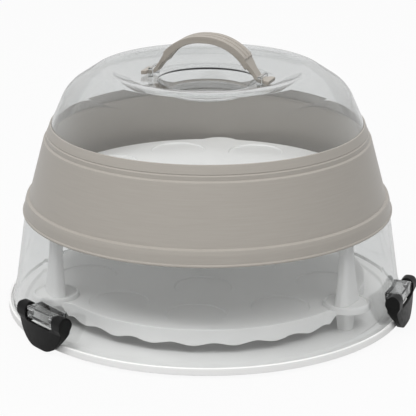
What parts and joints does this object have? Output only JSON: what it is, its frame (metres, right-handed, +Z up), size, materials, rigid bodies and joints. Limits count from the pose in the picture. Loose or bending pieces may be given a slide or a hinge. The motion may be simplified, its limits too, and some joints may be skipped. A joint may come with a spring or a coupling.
{
  "type": "cake carrier",
  "caption": "Round tiered cake carrier: clear lid with a soft folding band, flexible strap handle and side latches, over a white base with lift-out cup trays on posts.",
  "frame": {"origin": "centre of the base's underside, on the surface that the carrier stands on", "axes": "+Z up through the centre of base, trays and lid; +X along the carrying strap, through the first latch"},
  "size_m": [0.3869, 0.38, 0.26],
  "materials": {
    "white_plastic": "white moulded polypropylene, satin",
    "clear_plastic": "clear moulded styrene acrylonitrile, polished",
    "band_rubber": "taupe grey moulded soft elastomer, satin",
    "strap_rubber": "taupe moulded soft elastomer, matt",
    "black_plastic": "black moulded ABS, semi-gloss"
  },
  "bodies": {
    "base": {"base": "white_plastic"},
    "lower_tray": {"lower_tray": "white_plastic"},
    "upper_tier": {"upper_tray": "white_plastic", "post_1": "white_plastic", "post_2": "white_plastic", "post_3": "white_plastic"},
    "dome": {"dome": "clear_plastic", "collapsible_band": "band_rubber"},
    "lid_wall": {"lid_wall": "clear_plastic"},
    "handle": {"handle_strap": "strap_rubber"},
    "latch_1": {"latch_1": "black_plastic"},
    "latch_2": {"latch_2": "black_plastic"},
    "latch_3": {"latch_3": "black_plastic"}
  },
  "joints": [
    {"name": "lid_lift", "type": "slide", "parent": "base", "child": "dome", "axis": [0, 0, 1], "range_m": [0, 0.25]},
    {"name": "lid_collapse", "type": "slide", "parent": "dome", "child": "lid_wall", "axis": [0, 0, 1], "range_m": [0, 0.111], "deforming": ["collapsible_band"]},
    {"name": "handle_press", "type": "slide", "parent": "dome", "child": "handle", "axis": [0, 0, -1], "range_m": [0, 0.022], "stiffness_N_per_m": 400, "deforming": ["handle_strap"]},
    {"name": "lower_tray_lift", "type": "slide", "parent": "base", "child": "lower_tray", "axis": [0, 0, 1], "range_m": [0, 0.012]},
    {"name": "upper_tier_lift", "type": "slide", "parent": "lower_tray", "child": "upper_tier", "axis": [0, 0, 1], "range_m": [0, 0.01]},
    {"name": "latch_1_swing", "type": "hinge", "parent": "lid_wall", "child": "latch_1", "pos_m": [0.19, 0, 0.0315], "axis": [0, -1, 0], "range_deg": [-5, 110]},
    {"name": "latch_2_swing", "type": "hinge", "parent": "lid_wall", "child": "latch_2", "pos_m": [-0.095, 0.16454, 0.0315], "axis": [0.866, 0.5, 0], "range_deg": [-5, 110]},
    {"name": "latch_3_swing", "type": "hinge", "parent": "lid_wall", "child": "latch_3", "pos_m": [-0.095, -0.16454, 0.0315], "axis": [-0.866, 0.5, 0], "range_deg": [-5, 110]}
  ]
}
